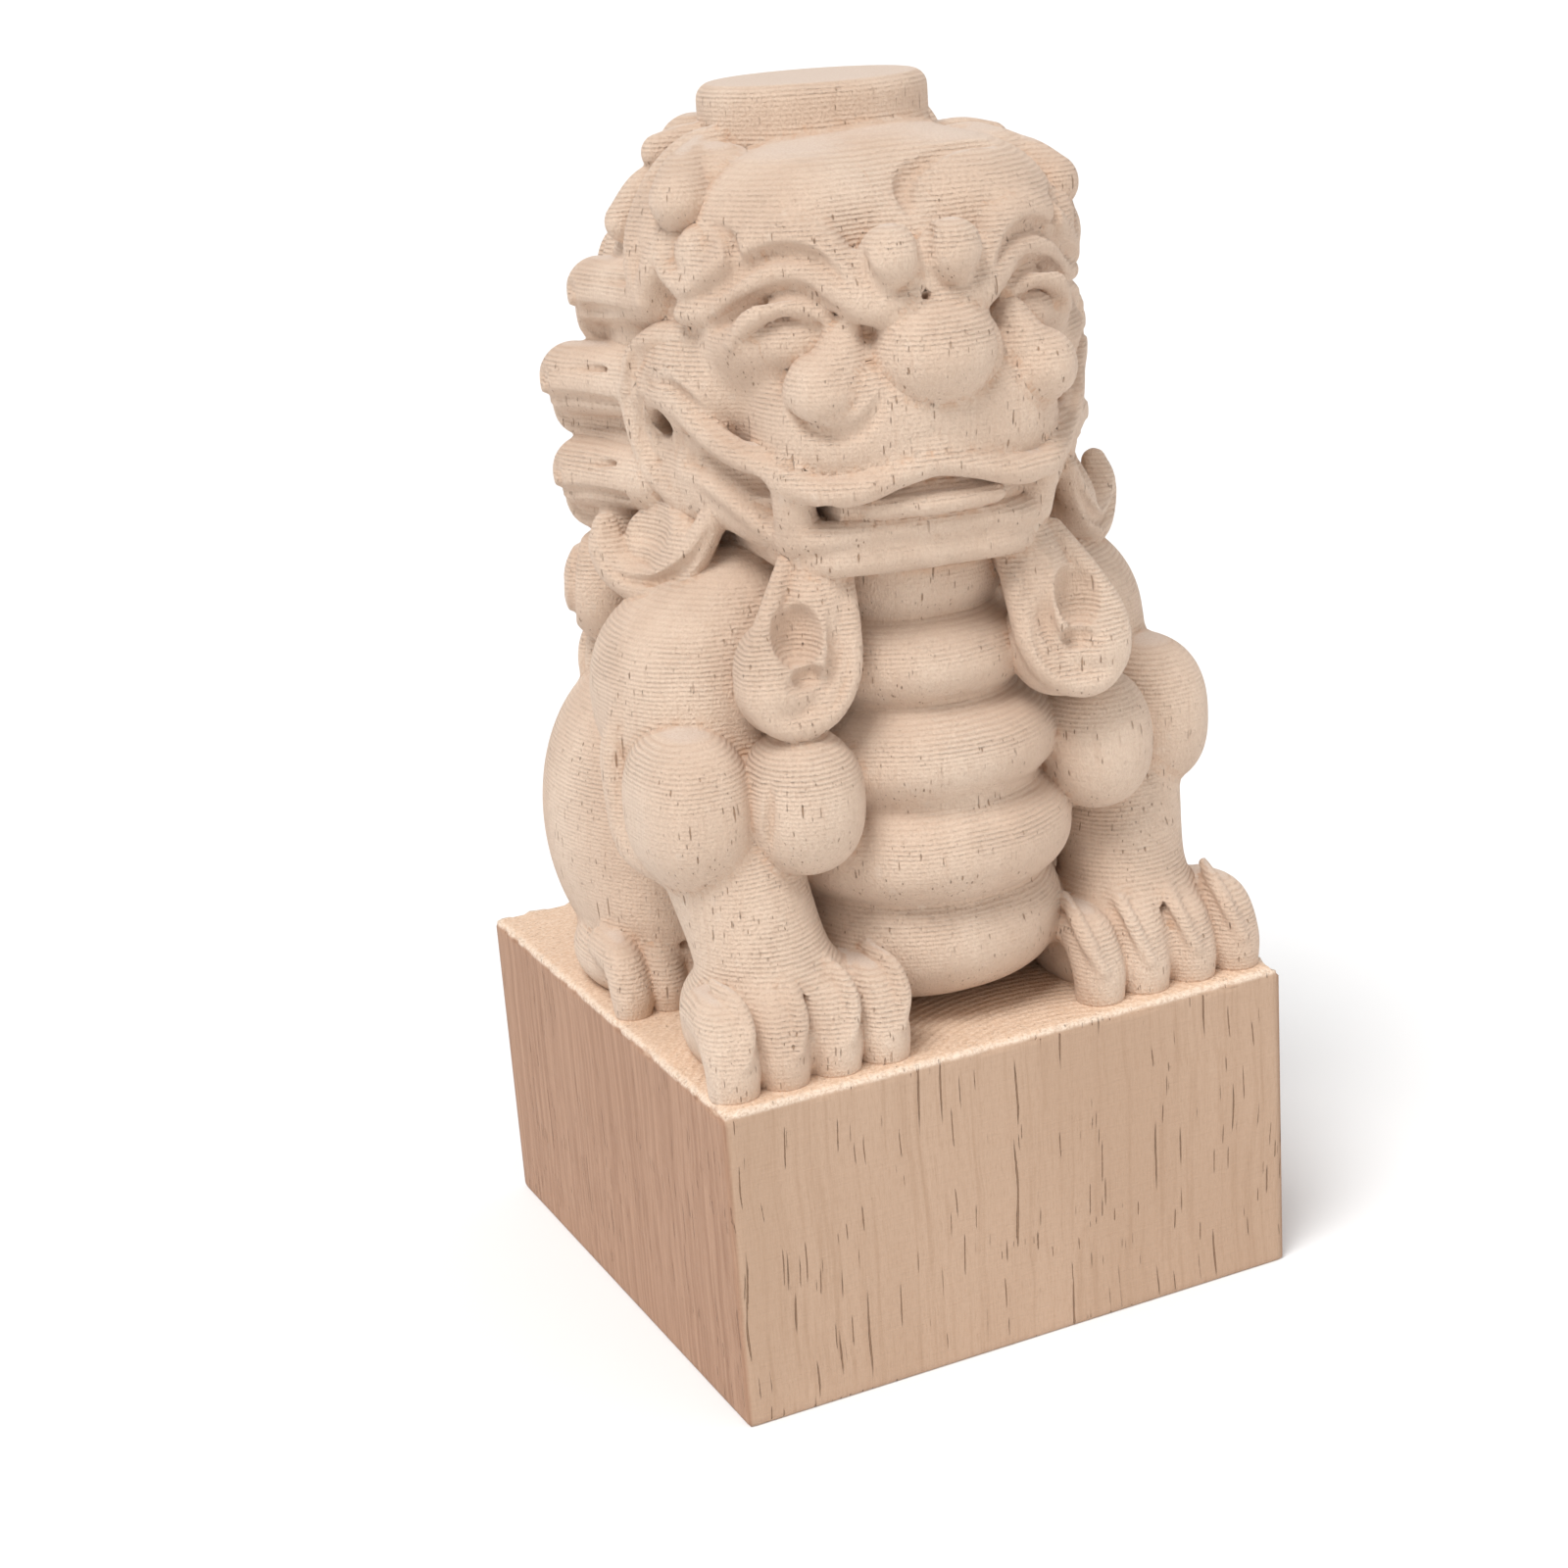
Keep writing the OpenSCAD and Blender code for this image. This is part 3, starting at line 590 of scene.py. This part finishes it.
# the block's own sides and the plinth's top
x, y, z = AXES[0][:, None, None], AXES[1][None, :, None], AXES[2][None, None, :]
total.d = np.maximum(total.d, (np.abs(x) - HALF).astype(np.float32))
total.d = np.maximum(total.d, (np.abs(y) - HALF).astype(np.float32))
total.d = np.maximum(total.d, (FLOOR - 0.4 - z).astype(np.float32))


def sampled(grid, p):
    """Trilinear samples of a whole-grid array at points in cells."""
    i = np.clip(np.floor(p).astype(int), 0, np.array(grid.shape) - 2)
    t = p - i
    out = 0
    for dx in (0, 1):
        for dy in (0, 1):
            for dz in (0, 1):
                wx = t[:, 0] if dx else 1 - t[:, 0]
                wy = t[:, 1] if dy else 1 - t[:, 1]
                wz = t[:, 2] if dz else 1 - t[:, 2]
                w = wx * wy * wz
                out = out + w * grid[i[:, 0] + dx, i[:, 1] + dy, i[:, 2] + dz]
    return out


def slope(grid, p):
    e = 0.5 * np.eye(3)
    return np.stack([sampled(grid, p + e[k]) - sampled(grid, p - e[k]) for k in range(3)], 1)


def skin(name, d, i0, outer, share, crease=50):
    """Closes the surface of a block into a mesh object and draws its seams onto the real edge."""
    d = np.pad(d, 1, constant_values=FAR)
    outer = np.pad(outer, 1, mode="edge")
    share = np.pad(share, 1, mode="edge")
    grid = openvdb.FloatGrid(FAR)
    grid.copyFromArray(d)
    points, tris, quads = grid.convertToPolygons(isovalue=0.0, adaptivity=0.0)
    if not len(points):
        raise ValueError("nothing left of " + name)
    p = points.astype(float)
    near = np.where((np.abs(sampled(outer, p)) < 0.8 * STEP) & (np.abs(sampled(share, p)) < 0.8 * STEP))[0]
    for _ in range(2):
        q = p[near]
        a, b = slope(outer, q), slope(share, q)
        u, v = sampled(outer, q), sampled(share, q)
        aa, bb, ab = (a * a).sum(1), (b * b).sum(1), (a * b).sum(1)
        det = aa * bb - ab * ab
        good = det > 0.08 * aa * bb
        det = np.where(good, det, 1.0)
        s = -(u * bb - v * ab) / det
        t = -(v * aa - u * ab) / det
        move = s[:, None] * a + t[:, None] * b
        size = np.linalg.norm(move, axis=1)
        move *= np.minimum(1.0, 0.8 / np.maximum(size, 1e-9))[:, None]
        p[near] = q + np.where(good[:, None], move, 0.0)
    p = (LOW + (p - 1 + i0) * STEP) * MM
    mesh = bpy.data.meshes.new("lion_" + name)
    mesh.vertices.add(len(p))
    mesh.vertices.foreach_set("co", p.astype(np.float32).ravel())
    loops = np.concatenate([quads.ravel(), tris.ravel()]).astype(np.int32)
    starts = np.concatenate([4 * np.arange(len(quads)),
        4 * len(quads) + 3 * np.arange(len(tris))]).astype(np.int32)
    mesh.loops.add(len(loops))
    mesh.loops.foreach_set("vertex_index", loops)
    mesh.polygons.add(len(starts))
    mesh.polygons.foreach_set("loop_start", starts)
    mesh.update(calc_edges=True)
    mesh.validate()
    mesh.shade_smooth()
    mesh.set_sharp_from_angle(angle=math.radians(crease))
    piece = bpy.data.objects.new("lion_" + name, mesh)
    bpy.context.collection.objects.link(piece)
    return piece


def carve_pieces():
    pieces = {}
    names = list(masses)
    for name in names:
        f = masses[name][0]
        rival = np.full(f.d.shape, FAR, np.float32)
        for other in names:
            if other == name:
                continue
            g = masses[other][0]
            a, b = np.maximum(f.i0, g.i0), np.minimum(f.i1, g.i1)
            if (b <= a).any():
                continue
            mine = tuple(slice(a[k] - f.i0[k], b[k] - f.i0[k]) for k in range(3))
            its = tuple(slice(a[k] - g.i0[k], b[k] - g.i0[k]) for k in range(3))
            rival[mine] = np.minimum(rival[mine], g.d[its])
        share = 0.5 * (f.d - rival)
        outer = total.d[tuple(slice(a, b) for a, b in zip(f.i0, f.i1))]
        pieces[name] = skin(name, np.maximum(outer, share), f.i0, outer, share)
    return pieces


# ---------- plinth: planed sides, a machined top and slightly ragged top edges ----------


def plinth_mesh(rounding=0.5, cuts=74):
    low, high = (np.array(corner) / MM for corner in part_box("plinth"))
    half, middle = (high - low) / 2, (high + low) / 2
    bm = bmesh.new()
    bmesh.ops.create_cube(bm, size=2.0)
    bmesh.ops.subdivide_edges(bm, edges=bm.edges[:], cuts=cuts, use_grid_fill=True)
    for v in bm.verts:
        p = np.array(v.co) * half
        core = np.clip(p, -(half - rounding), half - rounding)
        out = p - core
        p = core + out / np.linalg.norm(out) * rounding
        rim = max(abs(p[0]), abs(p[1])) - (half[0] - 0.7)
        if p[2] > half[2] - 0.7 and rim > 0:
            chip = 0.2 + noise.noise(Vector((p[0] * 0.35, p[1] * 0.35, 3.0)))
            chip += 0.6 * noise.noise(Vector((p[0] * 1.1, p[1] * 1.1, 8.0)))
            p[:2] *= 1 - 0.011 * max(chip, 0)
            p[2] -= 0.6 * chip
        v.co = Vector((p + middle) * MM)
    mesh = bpy.data.meshes.new("lion_plinth")
    bm.to_mesh(mesh)
    bm.free()
    mesh.shade_smooth()
    piece = bpy.data.objects.new("lion_plinth", mesh)
    bpy.context.collection.objects.link(piece)
    return piece


# ---------- wood ----------


class Nodes:
    """Short names for building a material's node tree."""

    def __init__(self, name):
        self.material = bpy.data.materials.new(name)
        self.material.use_nodes = True
        self.tree = self.material.node_tree
        self.shader = self.tree.nodes["Principled BSDF"]

    def add(self, kind, links=(), **values):
        node = self.tree.nodes.new(kind)
        for key, value in values.items():
            setattr(node, key, value)
        for socket, value in dict(links).items():
            self.set(node, socket, value)
        return node

    def set(self, node, socket, value):
        if isinstance(value, bpy.types.NodeSocket):
            self.tree.links.new(value, node.inputs[socket])
        else:
            node.inputs[socket].default_value = value

    def math(self, operation, a, b=0.0, c=0.0):
        node = self.add("ShaderNodeMath", {0: a, 1: b, 2: c}, operation=operation)
        return node.outputs[0]

    def scaled(self, vector, by):
        return self.add("ShaderNodeVectorMath", {0: vector, 1: by}, operation="MULTIPLY").outputs[0]

    def noise(self, vector, scale, detail=2.0, rough=0.5):
        links = {"Vector": vector, "Scale": scale, "Detail": detail, "Roughness": rough}
        return self.add("ShaderNodeTexNoise", links).outputs["Fac"]

    def ramp(self, value, low, high, out_low=0.0, out_high=1.0):
        links = {"Value": value, 1: low, 2: high, 3: out_low, 4: out_high}
        return self.add("ShaderNodeMapRange", links, interpolation_type="SMOOTHSTEP").outputs[0]

    def mix(self, factor, a, b):
        node = self.add("ShaderNodeMix", data_type="RGBA")
        self.set(node, 0, factor)
        for index, colour in ((6, a), (7, b)):
            self.set(node, index, colour)
        return node.outputs[2]

    def pores(self, vector, across, along, width):
        """Dark vessel lines that run up the block: thin, long cells cut open by the surface."""
        links = {"Vector": self.scaled(vector, (across, across, along)), "Scale": 1.0}
        cells = self.add("ShaderNodeTexVoronoi", links)
        pick = self.add("ShaderNodeSeparateColor", {0: cells.outputs["Color"]}).outputs[0]
        size = self.ramp(pick, 0.25, 1.0, 0.0, width)
        gap = self.math("SUBTRACT", size, cells.outputs["Distance"])
        return self.ramp(gap, -0.03, 0.05)


LIGHT = (0.86, 0.675, 0.53, 1)
STREAK = (0.64, 0.44, 0.315, 1)
PORE = (0.40, 0.235, 0.14, 1)
PAINTED_RECESS_SHADE = (0.66, 0.40, 0.25, 1)
PLANED = (0.57, 0.395, 0.28, 1)
PLANED_DARK = (0.43, 0.275, 0.18, 1)
PLANED_BROAD = (0.50, 0.335, 0.23, 1)
PLANED_PORE = (0.22, 0.12, 0.065, 1)
SHADED_FLANK_PALE = (0.47, 0.275, 0.18, 1)
SHADED_FLANK_DARK = (0.34, 0.18, 0.11, 1)
END_DARK = (0.68, 0.475, 0.33, 1)
END_PALE = (0.84, 0.64, 0.49, 1)
TORN = (0.86, 0.70, 0.56, 1)
PAINTED_RIM_HIGHLIGHT = (0.86, 0.72, 0.60, 1)
FLAT_PALE = (0.92, 0.80, 0.70, 1)
CUTTER_PITCH = 0.62  # mm between two lines of the ball cutter
MILL_PITCH = 1.4  # mm between two arcs of the cutter that faced the plinth's top


def grain(n):
    """Position in millimetres, bent a little, so that no grain line is ruler straight."""
    here = n.add("ShaderNodeTexCoord").outputs["Object"]
    mm = n.scaled(here, (1000, 1000, 1000))
    links = {"Vector": n.scaled(mm, (0.02, 0.02, 0.05)), "Scale": 1.0, "Detail": 1.0}
    bend = n.add("ShaderNodeTexNoise", links).outputs["Color"]
    bend = n.add("ShaderNodeVectorMath", {0: bend, 1: (0.5, 0.5, 0.5)}, operation="SUBTRACT").outputs[0]
    links = {0: mm, 1: n.scaled(bend, (3, 3, 0))}
    return mm, n.add("ShaderNodeVectorMath", links, operation="ADD").outputs[0]


def facing_up(n, low, high):
    normal = n.add("ShaderNodeNewGeometry").outputs["Normal"]
    up = n.add("ShaderNodeSeparateXYZ", {0: normal}).outputs[2]
    return n.ramp(up, low, high)


def bumped(n, height, distance, strength=1.0, under=None):
    links = {"Height": height, "Distance": distance, "Strength": strength}
    if under is not None:
        links["Normal"] = under
    return n.add("ShaderNodeBump", links).outputs[0]


def carved_wood():
    n = Nodes("carved_wood")
    mm, bent = grain(n)
    broad = n.noise(n.scaled(bent, (0.07, 0.07, 0.012)), 1.0, 3)
    streaks = n.noise(n.scaled(bent, (1.5, 1.5, 0.05)), 1.0, 3, 0.6)
    fuzz = n.noise(n.scaled(mm, (3.2, 3.2, 1.6)), 1.0, 3, 0.7)
    pores = n.math("MAXIMUM", n.pores(bent, 1.3, 0.13, 0.21), n.pores(bent, 2.2, 0.28, 0.2))
    clusters = n.ramp(n.noise(n.scaled(bent, (0.2, 0.2, 0.04)), 1.0, 2), 0.38, 0.55, 0.2, 1.0)
    upright = n.math("SUBTRACT", 1.0, facing_up(n, 0.35, 0.75))
    pores = n.math("MULTIPLY", pores, n.math("MULTIPLY", clusters, upright))

    # contour lines left by the ball cutter, worn away in patches
    wander = n.noise(n.scaled(mm, (0.12, 0.12, 0.12)), 1.0, 1)
    level = n.add("ShaderNodeSeparateXYZ", {0: mm}).outputs[2]
    level = n.math("MULTIPLY_ADD", wander, 0.5, level)
    turns = n.math("MULTIPLY", level, 2 * math.pi / CUTTER_PITCH)
    ridge = n.math("SINE", turns)
    patches = n.ramp(n.noise(n.scaled(mm, (0.09, 0.09, 0.09)), 1.0, 2), 0.35, 0.65, 0.5, 1.0)
    upward = facing_up(n, -0.1, 0.5)
    strength = n.math("MULTIPLY", patches, n.ramp(upward, 0.0, 1.0, 0.3, 1.0))
    strength = n.math("MULTIPLY", strength, n.math("SUBTRACT", 1.0, facing_up(n, 0.95, 0.995)))
    ridge = n.math("MULTIPLY", ridge, strength)

    colour = n.mix(n.ramp(broad, 0.3, 0.7, 0.0, 0.5), LIGHT, STREAK)
    colour = n.mix(n.ramp(streaks, 0.5, 0.78, 0.0, 0.4), colour, STREAK)
    # painted shade: the valleys between the cutter's lines are coloured darker, as the thin shadow under
    # each ridge
    painted_groove_shade = n.ramp(ridge, -1.0, -0.1, 0.6, 0.0)
    colour = n.mix(painted_groove_shade, colour, STREAK)
    colour = n.mix(n.ramp(fuzz, 0.35, 0.65, 0.35, 0.0), colour, STREAK)
    point = n.add("ShaderNodeNewGeometry").outputs["Pointiness"]
    # painted shade: low pointiness (creases, hollows and undercuts) is coloured darker and warmer, standing
    # in for the shade that falls in them
    colour = n.mix(n.ramp(point, 0.40, 0.495, 0.75, 0.0), colour, PAINTED_RECESS_SHADE)
    # painted highlight: high pointiness (convex rims and edges) is coloured paler
    colour = n.mix(n.ramp(point, 0.52, 0.62, 0.0, 0.2), colour, PAINTED_RIM_HIGHLIGHT)
    colour = n.mix(n.math("MULTIPLY", pores, 0.85), colour, PORE)
    colour = n.mix(facing_up(n, 0.9, 0.99), colour, n.mix(fuzz, STREAK, FLAT_PALE))
    n.set(n.shader, "Base Color", colour)
    n.set(n.shader, "Roughness", n.ramp(fuzz, 0.2, 0.8, 0.62, 0.8))
    n.set(n.shader, "Specular IOR Level", 0.3)
    n.set(n.shader, "Sheen Weight", 0.12)

    normal = bumped(n, ridge, 0.00009)
    normal = bumped(n, fuzz, 0.00045, under=normal)
    normal = bumped(n, n.math("SUBTRACT", 1.0, pores), 0.00022, under=normal)
    n.set(n.shader, "Normal", normal)
    return n.material


def planed_wood():
    n = Nodes("planed_wood")
    mm, bent = grain(n)
    broad = n.noise(n.scaled(bent, (0.06, 0.06, 0.01)), 1.0, 3)
    streaks = n.noise(n.scaled(bent, (1.1, 1.1, 0.02)), 1.0, 4, 0.6)
    fine = n.noise(n.scaled(mm, (4, 4, 0.5)), 1.0, 3, 0.6)
    cross = n.noise(n.scaled(mm, (0.25, 0.25, 2.4)), 1.0, 2)
    pores = n.math("MAXIMUM", n.pores(bent, 1.1, 0.02, 0.2), n.pores(bent, 2.0, 0.06, 0.2))
    top = facing_up(n, 0.5, 0.8)

    colour = n.mix(n.ramp(broad, 0.3, 0.7, 0.0, 0.8), PLANED, PLANED_BROAD)
    colour = n.mix(n.ramp(streaks, 0.45, 0.8, 0.0, 0.7), colour, PLANED_DARK)
    colour = n.mix(n.ramp(fine, 0.4, 0.8, 0.0, 0.45), colour, PLANED_DARK)
    colour = n.mix(n.math("MULTIPLY", pores, 0.8), colour, PLANED_PORE)

    # painted shade: the two side faces are coloured darker and redder than the front and back, and carry
    # their own finer streaks of grain
    normal = n.add("ShaderNodeNewGeometry").outputs["Normal"]
    across = n.math("ABSOLUTE", n.add("ShaderNodeSeparateXYZ", {0: normal}).outputs[0])
    flank_grain_and_shade = n.mix(n.ramp(streaks, 0.3, 0.7), SHADED_FLANK_PALE, SHADED_FLANK_DARK)
    colour = n.mix(n.ramp(across, 0.4, 0.8, 0.0, 0.85), colour, flank_grain_and_shade)

    # end grain of the machined top: warmer, speckled with torn fibres
    speck = n.noise(n.scaled(mm, (2.2, 2.2, 2.2)), 1.0, 3, 0.7)
    end = n.mix(n.ramp(speck, 0.35, 0.7), END_DARK, END_PALE)
    links = {0: n.scaled(mm, (1, 1, 0)), 1: (6, -60, 0)}
    centre = n.add("ShaderNodeVectorMath", links, operation="SUBTRACT").outputs[0]
    ring = n.add("ShaderNodeVectorMath", {0: centre}, operation="LENGTH").outputs["Value"]
    swirl = n.math("SINE", n.math("MULTIPLY", ring, 2 * math.pi / MILL_PITCH))
    colour = n.mix(top, colour, end)
    # pale torn fibres along the top edges
    place = n.add("ShaderNodeSeparateXYZ", {0: mm})
    reach = n.math("MAXIMUM", n.math("ABSOLUTE", place.outputs[0]), n.math("ABSOLUTE", place.outputs[1]))
    edge = n.math("MULTIPLY", n.ramp(reach, 43.8, 44.6), n.ramp(place.outputs[2], 46.9, 47.5))
    edge = n.math("MULTIPLY", edge, n.ramp(speck, 0.35, 0.6, 0.3, 0.9))
    colour = n.mix(edge, colour, TORN)
    n.set(n.shader, "Base Color", colour)
    n.set(n.shader, "Roughness", n.ramp(fine, 0.2, 0.8, 0.55, 0.75))
    n.set(n.shader, "Specular IOR Level", 0.3)

    normal = bumped(n, n.math("SUBTRACT", 1.0, pores), 0.0002)
    normal = bumped(n, fine, 0.00008, under=normal)
    normal = bumped(n, cross, 0.00006, under=normal)
    milled = n.math("ADD", n.math("MULTIPLY", swirl, 0.25), speck)
    normal = bumped(n, n.math("MULTIPLY", milled, top), 0.0002, under=normal)
    n.set(n.shader, "Normal", normal)
    return n.material


carved, planed = carved_wood(), planed_wood()
pieces = carve_pieces()
pieces["plinth"] = plinth_mesh()

for name, piece in pieces.items():
    plinth = name == "plinth"
    piece.data.materials.append(planed if plinth else carved)
    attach(piece, "root")
    nodes = [name]
    if name.endswith("foreleg"):
        nodes.append(name.replace("foreleg", "shoulder"))
    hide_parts(*nodes)

# ---------- studio ----------

FLOOR_HALF = 20.0  # metres, so that its edge stays far away in every view

floor = bpy.data.objects.new("floor", bpy.data.meshes.new("floor"))
bm = bmesh.new()
bmesh.ops.create_grid(bm, x_segments=1, y_segments=1, size=FLOOR_HALF)
bm.to_mesh(floor.data)
bm.free()
bpy.context.collection.objects.link(floor)
paper = bpy.data.materials.new("paper")
paper.use_nodes = True
shader = paper.node_tree.nodes["Principled BSDF"]
shader.inputs["Base Color"].default_value = (0.86, 0.86, 0.86, 1)
shader.inputs["Roughness"].default_value = 0.9
floor.data.materials.append(paper)


def soft_sun(name, toward, power, spread):
    light = bpy.data.lights.new(name, "SUN")
    light.energy = power
    light.angle = math.radians(spread)
    lamp = bpy.data.objects.new(name, light)
    lamp.rotation_euler = Vector(toward).to_track_quat("-Z", "Y").to_euler()
    bpy.context.collection.objects.link(lamp)


soft_sun("key", (0.45, 0.3, -1.0), 2.3, 26)
soft_sun("fill", (-0.6, 0.8, -0.5), 0.3, 60)

sky = bpy.data.worlds.new("studio")
sky.use_nodes = True
shader = sky.node_tree.nodes["Background"]
shader.inputs["Color"].default_value = (1, 1, 1, 1)
shader.inputs["Strength"].default_value = 0.62
bpy.context.scene.world = sky
bpy.context.scene.view_settings.view_transform = "Standard"

CAMERA_PLACE = (-0.1722, -0.3536, 0.2034)

camera = bpy.data.objects.new("camera", bpy.data.cameras.new("camera"))
bpy.context.collection.objects.link(camera)
yaw = math.radians(24.24)
pitch = math.radians(18.79)
roll = math.radians(-4.33)
level = math.cos(pitch)
forward = Vector((math.sin(yaw) * level, math.cos(yaw) * level, -math.sin(pitch)))
turn = forward.to_track_quat("-Z", "Y").to_matrix() @ Matrix.Rotation(roll, 3, "Z")
camera.matrix_world = Matrix.Translation(CAMERA_PLACE) @ turn.to_4x4()
camera.data.sensor_width = 36
camera.data.lens = 62.7
camera.data.shift_x = 0.002
camera.data.shift_y = 0.020
bpy.context.scene.camera = camera
